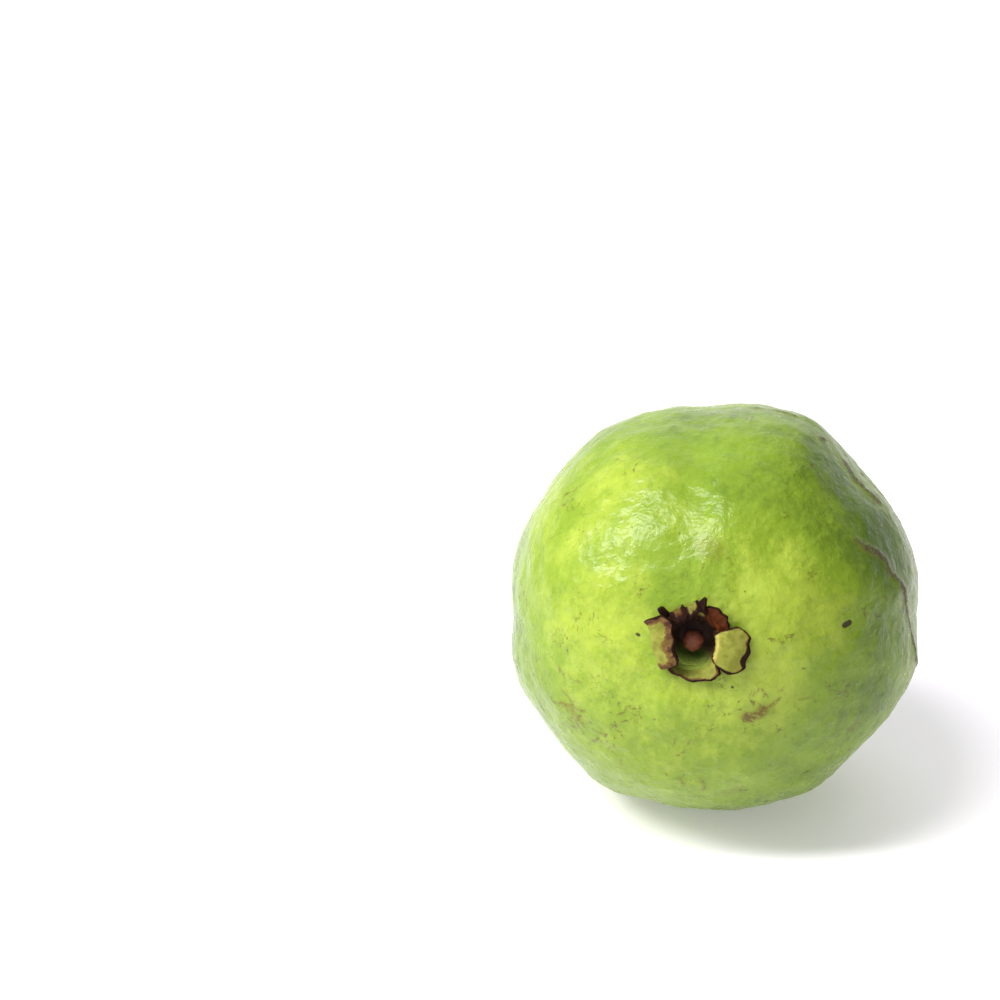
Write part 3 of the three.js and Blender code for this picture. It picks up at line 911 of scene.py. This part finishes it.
def make_calyx(shape, cup, colours):
    """The crown of dried sepals and the sleeve that carries them."""
    lip, ledge, _ = cup_heights(shape, cup)
    parts = [sleeve_band(lip, ledge, cup)]
    parts += [sepal_blade(sepal, i, lip, cup) for i, sepal in enumerate(SEPALS)]
    vertices, faces, kept, count = [], [], {}, 0
    for points, polygons, values in parts:
        vertices.append(points)
        faces += [[corner + count for corner in polygon] for polygon in polygons]
        for name, numbers in values.items():
            kept.setdefault(name, []).append(numbers)
        count += len(points)
    piece = new_piece("calyx_crown", lay(np.concatenate(vertices), shape), faces)
    for name, numbers in kept.items():
        store(piece.data, name, np.concatenate(numbers))
    finish_piece(piece, "calyx", "dried_sepal", sepal_material(colours))


# ---- The style base and the stalk ----


def smooth_side(corners, count):
    """Rings along a smooth curve through (distance, height) corners."""
    raised = [(distance, height, 0) for distance, height in corners]
    return [tuple(point) for point in through(raised, np.linspace(0, 1, count))[:, :2]]


def make_style_base(shape, cup, colours):
    """The dried foot of the style, a wrinkled knob on the cup's floor."""
    foot = cup_heights(shape, cup)[2] + CLEARANCE
    corners = (
        (1.55, 0), (1.8, 0.6), (1.95, 1.5), (1.9, 1.9), (1.7, 2.45), (1.35, 2.85), (0.9, 3.05),
        (0.3, 3.08),
    )

    def change(points):
        points = points + np.array([0, foot, 0])
        clock = turn_of(points)
        high = points[:, 1] - foot
        swell = 1 + 0.035 * np.sin(3 * clock + 0.6) + 0.04 * np.sin(7 * clock)
        swell = swell + 0.05 * noise_at(points, 0.7, 9) - 0.05 * smooth(high, 2.2, 3.0)
        widen(points, swell)
        points[:, 1] += 0.1 * noise_at(points, 0.6, 19) * smooth(high, 1.5, 2.6)
        return points + at_clock(*STYLE_ASIDE, 0)

    piece = turned_piece("style_base_knob", smooth_side(corners, 34), 72, change, shape)
    finish_piece(piece, "style_base", "dried_style", style_material(colours))


def make_stalk(shape, colours):
    """The short woody stub in the basin at the stalk end."""
    mouth = float(stalk_outline(shape, STALK_RADIUS + GAP))
    foot = mouth + SOCKET_DEPTH - GAP
    corners = (
        (0.3, -4.4), (1.1, -4.45), (1.6, -4.5), (1.88, -4.3), (1.93, -3.6), (1.88, -2.6),
        (1.96, -1.7), (2.0, -1.0), (2.0, 0),
    )
    kept = {}

    def change(points):
        out = np.clip((-SOCKET_DEPTH - points[:, 1]) / 2, 0, 1)
        ridges = 1 + out * (0.05 * np.sin(5 * turn_of(points)) - 0.05)
        ridges = ridges + 0.03 * noise_at(points * np.array([1, 0.25, 1]), 0.45, 51) * out
        broken = smooth(-points[:, 1], 4.2, 4.4)
        kept["broken"] = broken
        points[:, 1] += foot + 0.22 * noise_at(points, 0.55, 13) * broken
        widen(points, ridges)
        return points

    piece = turned_piece("stalk_stub_bark", smooth_side(corners, 60), 90, change, shape)
    store(piece.data, "broken", kept["broken"])
    finish_piece(piece, "stalk_stub", "stalk_wood", stalk_material(colours))


# ---- Materials ----


class Recipe:
    """Adds nodes to a material and joins them by value or by socket."""

    def __init__(self, name):
        self.material = bpy.data.materials.new(name)
        self.material.use_nodes = True
        self.tree = self.material.node_tree
        self.surface = next(n for n in self.tree.nodes if n.type == "BSDF_PRINCIPLED")
        self.place = -2400

    def node(self, kind, inputs=None, **settings):
        """A node with the given settings and inputs, which are numbers, colours or sockets."""
        made = self.tree.nodes.new(kind)
        self.place += 60
        made.location = (self.place, 0)
        for key, value in settings.items():
            setattr(made, key, value)
        for key, value in (inputs or {}).items():
            self.feed(made.inputs[key], value)
        return made

    def feed(self, socket, value):
        """Joins a socket to another, or sets its value."""
        if isinstance(value, bpy.types.NodeSocket):
            self.tree.links.new(value, socket)
        elif hasattr(value, "__len__") and socket.type == "RGBA":
            socket.default_value = (*value[:3], 1)
        else:
            socket.default_value = value

    def read(self, name, output="Fac"):
        """A value stored on the mesh."""
        return self.node("ShaderNodeAttribute", attribute_name=name).outputs[output]

    def place_in(self):
        """The place on the object, in metres."""
        return self.node("ShaderNodeTexCoord").outputs["Object"]

    def noise(self, where, size, detail=3.0, rough=0.5, twist=0.0):
        """Noise with features of about the given size in mm."""
        inputs = {
            "Vector": where, "Scale": 1 / (size * MM), "Detail": detail, "Roughness": rough,
            "Distortion": twist,
        }
        return self.node("ShaderNodeTexNoise", inputs).outputs["Fac"]

    def cells(self, where, size):
        """Scattered cells of about the given size in mm."""
        inputs = {"Vector": where, "Scale": 1 / (size * MM), "Randomness": 1.0}
        return self.node("ShaderNodeTexVoronoi", inputs).outputs

    def maths(self, operation, a, b=0.0):
        """One step of arithmetic."""
        return self.node("ShaderNodeMath", {0: a, 1: b}, operation=operation).outputs[0]

    def add(self, a, b):
        """The sum of two values."""
        return self.maths("ADD", a, b)

    def times(self, a, b):
        """The product of two values."""
        return self.maths("MULTIPLY", a, b)

    def swing(self, value, amount):
        """A noise made to swing about 0, by half the amount each way."""
        return self.times(self.maths("SUBTRACT", value, 0.5), amount)

    def span(self, value, low, high, to_low=0.0, to_high=1.0):
        """Maps low..high to to_low..to_high, with soft ends."""
        inputs = {"Value": value, 1: low, 2: high, 3: to_low, 4: to_high}
        return self.node(
            "ShaderNodeMapRange", inputs, interpolation_type="SMOOTHSTEP"
        ).outputs["Result"]

    def fall(self, value, low, high):
        """1 below low and 0 above high, with soft ends."""
        return self.span(value, low, high, 1.0, 0.0)

    def mix(self, share, first, second):
        """A colour between two others."""
        made = self.node("ShaderNodeMix", data_type="RGBA")
        for socket, value in zip((0, 6, 7), (share, first, second)):
            self.feed(made.inputs[socket], value)
        return made.outputs[2]

    def tint(self, colour, mask, strength, other):
        """A colour with another laid over it where the mask is 1."""
        return self.mix(self.times(mask, strength), colour, other)

    def bump(self, height, depth, below=None):
        """Relief of a depth in mm, on top of what is below it."""
        inputs = {"Height": height, "Strength": 1.0, "Distance": depth * MM}
        if below is not None:
            inputs["Normal"] = below
        return self.node("ShaderNodeBump", inputs).outputs["Normal"]

    def finish(self, colour, roughness, normal, **sockets):
        """Feeds the surface and returns the material."""
        self.feed(self.surface.inputs["Base Color"], colour)
        self.feed(self.surface.inputs["Roughness"], roughness)
        self.feed(self.surface.inputs["Normal"], normal)
        for name, value in sockets.items():
            self.surface.inputs[name.replace("_", " ")].default_value = value
        return self.material


def skin_material(colours):
    """Waxy mottled green skin with pores, russet hairlines, flecks, scars and spots."""
    r = Recipe("guava_skin")
    where = r.place_in()
    depth = r.read("green")
    for size, detail, strength in ((34, 3, 0.6), (7, 4, 0.76), (2.8, 3, 0.5), (1.1, 2, 0.3)):
        depth = r.add(depth, r.swing(r.noise(where, size, detail, 0.6), strength))
    light = r.mix(r.span(depth, 0.0, 0.55), colours.skin_yellow, colours.skin_green)
    colour = r.mix(r.span(depth, 0.5, 1.1), light, colours.skin_deep)

    pore = r.fall(r.cells(where, 1.15)["Distance"], 0.1, 0.3)
    colour = r.tint(colour, pore, 0.16, colours.skin_deep)

    # Hairlines follow the level lines of a noise and show only in scattered zones.
    level = r.noise(where, 5.5, 3, 0.6, 0.8)
    line = r.fall(r.maths("ABSOLUTE", r.maths("SUBTRACT", level, 0.5)), 0.004, 0.018)
    zone = r.span(r.add(r.noise(where, 9, 2, 0.5), r.read("russet_zone")), 0.55, 0.64)
    broken = r.span(r.noise(where, 1.1, 2, 0.5), 0.42, 0.6)
    hairline = r.times(r.times(line, zone), broken)
    colour = r.tint(colour, hairline, 0.74, colours.russet)

    # A few of the larger cells hold a fleck.
    cells = r.cells(where, 3.2)
    chance = r.node("ShaderNodeSeparateColor", {"Color": cells["Color"]}).outputs[0]
    fleck = r.times(r.span(chance, 0.86, 0.9), r.fall(cells["Distance"], 0.04, 0.08))
    colour = r.tint(colour, fleck, 0.75, colours.russet)

    # The marks have torn, crumbly edges, and holes where the green shows through.
    ragged = r.swing(r.noise(where, 1.4, 4, 0.65), 1.6)
    crumbs = r.noise(where, 0.55, 3, 0.6)
    crumbly = r.add(ragged, r.swing(crumbs, 1.4))
    holes = r.span(crumbs, 0.36, 0.6, 0.25, 1.0)
    stain = r.fall(r.add(r.read("stain"), crumbly), -0.8, 1.6)
    colour = r.tint(colour, stain, 0.24, colours.russet)
    streak = r.times(r.fall(r.add(r.read("streak"), crumbly), -0.3, 0.25), holes)
    colour = r.tint(colour, streak, 0.9, colours.russet)
    wander = r.swing(r.noise(where, 3.2, 2, 0.5), 2.0)
    edge = r.add(r.read("scar"), r.add(crumbly, wander))
    # A paler, greyer halo round the scars is painted sheen.
    colour = r.tint(colour, r.fall(edge, 0.1, 0.9), 0.45, colours.sepal_shade)
    scar = r.times(r.fall(edge, -0.3, 0.2), holes)
    colour = r.tint(colour, scar, 0.95, colours.cork)
    spot = r.fall(r.add(r.read("spot"), r.times(ragged, 0.3)), -0.16, 0.14)
    colour = r.tint(colour, spot, 0.95, colours.spot)
    rim = r.times(r.read("rim"), r.span(r.noise(where, 2.2, 3, 0.6), 0.4, 0.62))
    colour = r.tint(colour, rim, 0.6, colours.sepal_tan)

    dull = r.maths("MAXIMUM", r.maths("MAXIMUM", scar, spot), r.times(streak, 0.6))
    gloss = r.add(0.2, r.times(r.noise(where, 3, 3, 0.6), 0.18))
    roughness = r.add(gloss, r.times(dull, 0.3))

    waves = r.bump(r.noise(where, 2.6, 2, 0.5), 0.13)
    pebbles = r.bump(r.noise(where, 1.1, 2, 0.5), 0.19, waves)
    pitted = r.bump(pore, -0.02, pebbles)
    crust = r.bump(r.times(scar, crumbs), 0.16, pitted)
    return r.finish(
        colour, roughness, crust, IOR=1.4, Specular_IOR_Level=0.35, Subsurface_Weight=0.08,
        Subsurface_Radius=(1.0, 0.9, 0.25), Subsurface_Scale=0.002,
    )


def cup_colour(r, where, colours):
    """The inside of the cup: green below, dark brown above and towards its floor, partly its own
    staining and partly painted shade of the recess.
    """
    clock = r.read("clock")
    below = r.times(r.span(clock, -165, -120), r.fall(clock, -62, -25))
    mottled = r.noise(where, 1.4, 4, 0.6)
    depth = r.add(r.read("cup_depth"), r.swing(mottled, 0.35))
    # Deeper in, the wall darkens towards the floor: painted shade of the recess.
    green = r.mix(r.span(depth, 0.3, 0.9), colours.cup_green, colours.cup_deep)
    green = r.mix(r.span(depth, 0.95, 1.15), green, colours.cup_dark)
    # Above, the wall is brown: partly its own staining and partly painted shade.
    brown = r.mix(r.span(mottled, 0.42, 0.62), colours.cup_dark, colours.rust)
    brown = r.mix(r.span(depth, 0.25, 0.6), brown, colours.cup_dark)
    return r.mix(below, brown, green)


def cup_material(colours):
    """The cup's lining, with a damp uneven surface."""
    r = Recipe("cup_lining")
    where = r.place_in()
    colour = cup_colour(r, where, colours)
    rough = r.noise(where, 0.8, 4, 0.6)
    return r.finish(colour, r.span(rough, 0.3, 0.7, 0.35, 0.65), r.bump(rough, 0.25), IOR=1.4)


def sepal_material(colours):
    """Dried sepals: yellow-green faces, tan streaks and dark curled margins."""
    r = Recipe("dried_sepal")
    where = r.place_in()
    blade = r.read("blade", "Vector")
    stretched = r.node(
        "ShaderNodeVectorMath", {0: blade, 1: (1.0, 0.3, 1.0)}, operation="MULTIPLY"
    ).outputs[0]
    streaks = r.node(
        "ShaderNodeTexNoise", {"Vector": stretched, "Scale": 1.1, "Detail": 4.0, "Roughness": 0.6}
    ).outputs["Fac"]
    crumbs = r.noise(where, 0.7, 4, 0.65)
    patches = r.noise(where, 1.9, 3, 0.55)
    dry = r.add(r.add(r.read("dry"), r.swing(streaks, 0.7)), r.swing(crumbs, 0.4))
    face = r.mix(r.span(patches, 0.35, 0.65), colours.sepal_face, colours.sepal_shade)
    speck = r.span(r.noise(where, 0.5, 3, 0.6), 0.58, 0.72)
    face = r.tint(face, speck, 0.5, colours.sepal_tan)
    # A pale band along a sepal's crest is a painted highlight.
    face = r.mix(r.read("fold"), face, colours.sepal_fold)
    colour = r.mix(r.span(dry, 0.3, 0.5), face, colours.sepal_tan)
    brown = r.mix(r.span(streaks, 0.4, 0.65), colours.sepal_brown, colours.sepal_tan)
    brown = r.mix(r.span(crumbs, 0.5, 0.7, 0.0, 0.7), brown, colours.sepal_edge)
    colour = r.mix(r.span(dry, 0.45, 0.65), colour, brown)
    # The rusty sepal is duskier on one side. Where rust is set on the torn halves, the same
    # colours paint the shade that lies on them.
    across = r.node("ShaderNodeSeparateXYZ", {0: blade}).outputs["X"]
    low_side = r.add(patches, r.times(across, -0.05))
    dusky = r.mix(0.6, colours.rust, colours.sepal_edge)
    rusty = r.mix(r.span(low_side, 0.5, 0.64), dusky, colours.rust)
    colour = r.mix(r.read("rust"), colour, rusty)
    # Char darkens the dried black edges, and on the torn halves and the stump it paints shade.
    charred = r.add(r.read("char"), r.swing(crumbs, 0.5))
    colour = r.mix(r.span(charred, 0.3, 0.55), colour, colours.sepal_edge)
    colour = r.mix(r.read("root"), colour, cup_colour(r, where, colours))
    roughness = r.span(dry, 0.2, 0.8, 0.5, 0.7)
    bump = r.bump(crumbs, 0.1, r.bump(streaks, 0.14))
    return r.finish(colour, roughness, bump, IOR=1.35, Specular_IOR_Level=0.12)


def style_material(colours):
    """The reddish brown, slightly waxy knob."""
    r = Recipe("dried_style")
    where = r.place_in()
    patches = r.noise(where, 1.3, 4, 0.6)
    dusky = r.mix(0.45, colours.style, colours.sepal_brown)
    colour = r.mix(r.span(patches, 0.38, 0.6), dusky, colours.style)
    grit = r.noise(where, 0.5, 2, 0.5)
    colour = r.mix(r.span(grit, 0.6, 0.75, 0.0, 0.4), colour, colours.sepal_tan)
    return r.finish(colour, r.span(patches, 0.3, 0.7, 0.5, 0.7), r.bump(patches, 0.12), IOR=1.45)


def stalk_material(colours):
    """Grey-brown bark with a paler broken end."""
    r = Recipe("stalk_bark")
    where = r.place_in()
    fibres = r.noise(where, 0.7, 4, 0.65)
    bark = r.mix(r.span(fibres, 0.4, 0.65), colours.sepal_edge, colours.bark)
    wood = r.mix(r.span(fibres, 0.45, 0.7), colours.bark, colours.broken_wood)
    colour = r.mix(r.read("broken"), bark, wood)
    return r.finish(colour, r.span(fibres, 0.3, 0.7, 0.7, 0.9), r.bump(fibres, 0.2), IOR=1.45)


def studio_material(studio):
    """Plain pale matt surface with the faintest unevenness."""
    r = Recipe("pale_floor")
    where = r.place_in()
    tone = r.span(r.noise(where, 60, 2, 0.5), 0.3, 0.7)
    colour = r.tint(studio.floor_colour, tone, 0.02, (1, 1, 1))
    glow = {"Emission_Color": (1, 1, 1, 1), "Emission_Strength": FLOOR_GLOW}
    return r.finish(colour, 0.75, r.bump(r.noise(where, 0.6, 2, 0.5), 0.01), **glow)


# ---- The studio ----


def make_sweep(studio):
    """A floor that curves up into a backdrop, square to the camera."""
    front, depth, rise, radius, half_width = -3.4, 0.75, 1.5, 0.5, 3.2
    line = [(front, 0.0)]
    for turn in np.radians(np.linspace(0, 90, 25)):
        line.append((depth + radius * math.sin(turn), radius * (1 - math.cos(turn))))
    line.append((depth + radius, rise))
    facing = Matrix.Rotation(studio.azimuth, 3, "Z")
    vertices = [facing @ Vector((x, y, z)) for y, z in line for x in (-half_width, half_width)]
    faces = [(2 * i, 2 * i + 1, 2 * i + 3, 2 * i + 2) for i in range(len(line) - 1)]
    sweep = new_piece("sweep", vertices, faces)
    sweep.data.materials.append(studio_material(studio))


def make_light(name, towards, distance, size, power, target, tint=(1, 1, 1), roll=0):
    """A soft oblong light in a direction from the target, facing it."""
    data = bpy.data.lights.new(name, "AREA")
    data.shape = "RECTANGLE"
    data.size, data.size_y = size
    data.energy = power
    data.color = tint
    light = bpy.data.objects.new(name, data)
    away = Vector(towards).normalized()
    light.location = target + away * distance
    light.rotation_mode = "QUATERNION"
    turned = Quaternion((0, 0, 1), math.radians(roll))
    light.rotation_quaternion = away.to_track_quat("Z", "Y") @ turned
    bpy.context.scene.collection.objects.link(light)


def make_lights(studio, target):
    """A bright key, weaker lights round it, one for the backdrop and a dim sky."""
    key_size, key_tint = (0.66, 0.20), (1, 0.99, 0.97)
    make_light("key", (-0.505, -0.39, 0.77), 0.75, key_size, 9.5, target, key_tint, roll=62)
    make_light("left", (-1.0, -0.3, 0.5), 1.0, (0.8, 0.8), 1.5, target)
    make_light("front", (-0.1, -1.0, 0.5), 1.2, (0.9, 0.9), 2.8, target)
    make_light("top", (0.15, 0.1, 1.0), 1.2, (1.3, 1.3), 2.3, target)
    make_light("side", (1.0, 0.5, 0.35), 1.2, (1.0, 1.0), 0.25, target)
    behind = Matrix.Rotation(studio.azimuth, 3, "Z") @ Vector((0.12, 1.2, 0.35))
    make_light("backdrop", (0.1, -0.75, 1.0), 0.9, (1.1, 0.5), 4.4, behind)
    world = bpy.data.worlds.new("studio")
    world.use_nodes = True
    background = world.node_tree.nodes["Background"]
    background.inputs["Color"].default_value = (1, 1, 1, 1)
    background.inputs["Strength"].default_value = SKY_STRENGTH
    bpy.context.scene.world = world


def make_camera(studio, target):
    """The camera, set so that the fruit falls at its place in the frame."""
    data = bpy.data.cameras.new("camera")
    data.lens = studio.lens
    data.sensor_width = 36
    data.clip_start, data.clip_end = 0.02, 20
    camera = bpy.data.objects.new("camera", data)
    ahead = Vector((
        -math.sin(studio.azimuth) * math.cos(studio.drop),
        math.cos(studio.azimuth) * math.cos(studio.drop),
        -math.sin(studio.drop),
    ))
    right = Vector((math.cos(studio.azimuth), math.sin(studio.azimuth), 0))
    up = right.cross(ahead)
    half = data.sensor_width / 2 / data.lens
    ray = ahead + right * (2 * studio.place_across - 1) * half
    ray -= up * (2 * studio.place_down - 1) * half
    camera.location = target - ray.normalized() * studio.distance
    camera.rotation_mode = "QUATERNION"
    camera.rotation_quaternion = (-ahead).to_track_quat("Z", "Y")
    bpy.context.scene.collection.objects.link(camera)
    bpy.context.scene.camera = camera


# ---- Operators ----


def fruit_settings(context):
    """The shape, the cup and the colours that the user has set."""
    scene = context.scene
    return scene.guava_shape, scene.guava_cup, scene.guava_colours


class GUAVA_OT_skin(bpy.types.Operator):
    """Build the fruit with its skin and the lining of the cup"""

    bl_idname = "guava.skin"
    bl_label = "Build skin"

    def execute(self, context):
        make_skin(*fruit_settings(context))
        return {"FINISHED"}


class GUAVA_OT_calyx(bpy.types.Operator):
    """Build the dried crown of sepals"""

    bl_idname = "guava.calyx"
    bl_label = "Build calyx"

    def execute(self, context):
        make_calyx(*fruit_settings(context))
        return {"FINISHED"}


class GUAVA_OT_style_base(bpy.types.Operator):
    """Build the knob on the floor of the cup"""

    bl_idname = "guava.style_base"
    bl_label = "Build style base"

    def execute(self, context):
        make_style_base(*fruit_settings(context))
        return {"FINISHED"}


class GUAVA_OT_stalk(bpy.types.Operator):
    """Build the stub of the stalk"""

    bl_idname = "guava.stalk"
    bl_label = "Build stalk"

    def execute(self, context):
        shape, _, colours = fruit_settings(context)
        make_stalk(shape, colours)
        return {"FINISHED"}


class GUAVA_OT_studio(bpy.types.Operator):
    """Set up the floor, the backdrop, the lights and the camera"""

    bl_idname = "guava.studio"
    bl_label = "Set up studio"

    def execute(self, context):
        scene = context.scene
        studio = scene.guava_studio
        target = Vector((0, 0, scene.guava_shape.rest_height))
        make_camera(studio, target)
        make_sweep(studio)
        make_lights(studio, target)
        scene.view_settings.view_transform = "Standard"
        return {"FINISHED"}


class GUAVA_PT_panel(bpy.types.Panel):
    """Lists the pieces and the settings"""

    bl_idname = "GUAVA_PT_panel"
    bl_label = "Guava"
    bl_space_type = "VIEW_3D"
    bl_region_type = "UI"
    bl_category = "Guava"

    def draw(self, context):
        layout = self.layout
        for operator in OPERATORS:
            layout.operator(operator.bl_idname)
        for name in SETTINGS:
            box = layout.box()
            group = getattr(context.scene, name)
            for key in type(group).__annotations__:
                box.prop(group, key)


OPERATORS = (
    GUAVA_OT_skin,
    GUAVA_OT_calyx,
    GUAVA_OT_style_base,
    GUAVA_OT_stalk,
    GUAVA_OT_studio,
)
SETTINGS = {
    "guava_shape": GuavaShape,
    "guava_cup": GuavaCup,
    "guava_colours": GuavaColours,
    "guava_studio": GuavaStudio,
}
CLASSES = (*SETTINGS.values(), *OPERATORS, GUAVA_PT_panel)


def register():
    """Adds the classes, and the settings of every scene."""
    for item in CLASSES:
        bpy.utils.register_class(item)
    for name, group in SETTINGS.items():
        setattr(bpy.types.Scene, name, PointerProperty(type=group))


def unregister():
    """Takes away what register added."""
    for name in SETTINGS:
        delattr(bpy.types.Scene, name)
    for item in reversed(CLASSES):
        bpy.utils.unregister_class(item)


def main():
    """Builds every piece and the studio."""
    register()
    bpy.ops.guava.skin()
    bpy.ops.guava.calyx()
    bpy.ops.guava.style_base()
    bpy.ops.guava.stalk()
    bpy.ops.guava.studio()


if __name__ == "__main__":
    main()
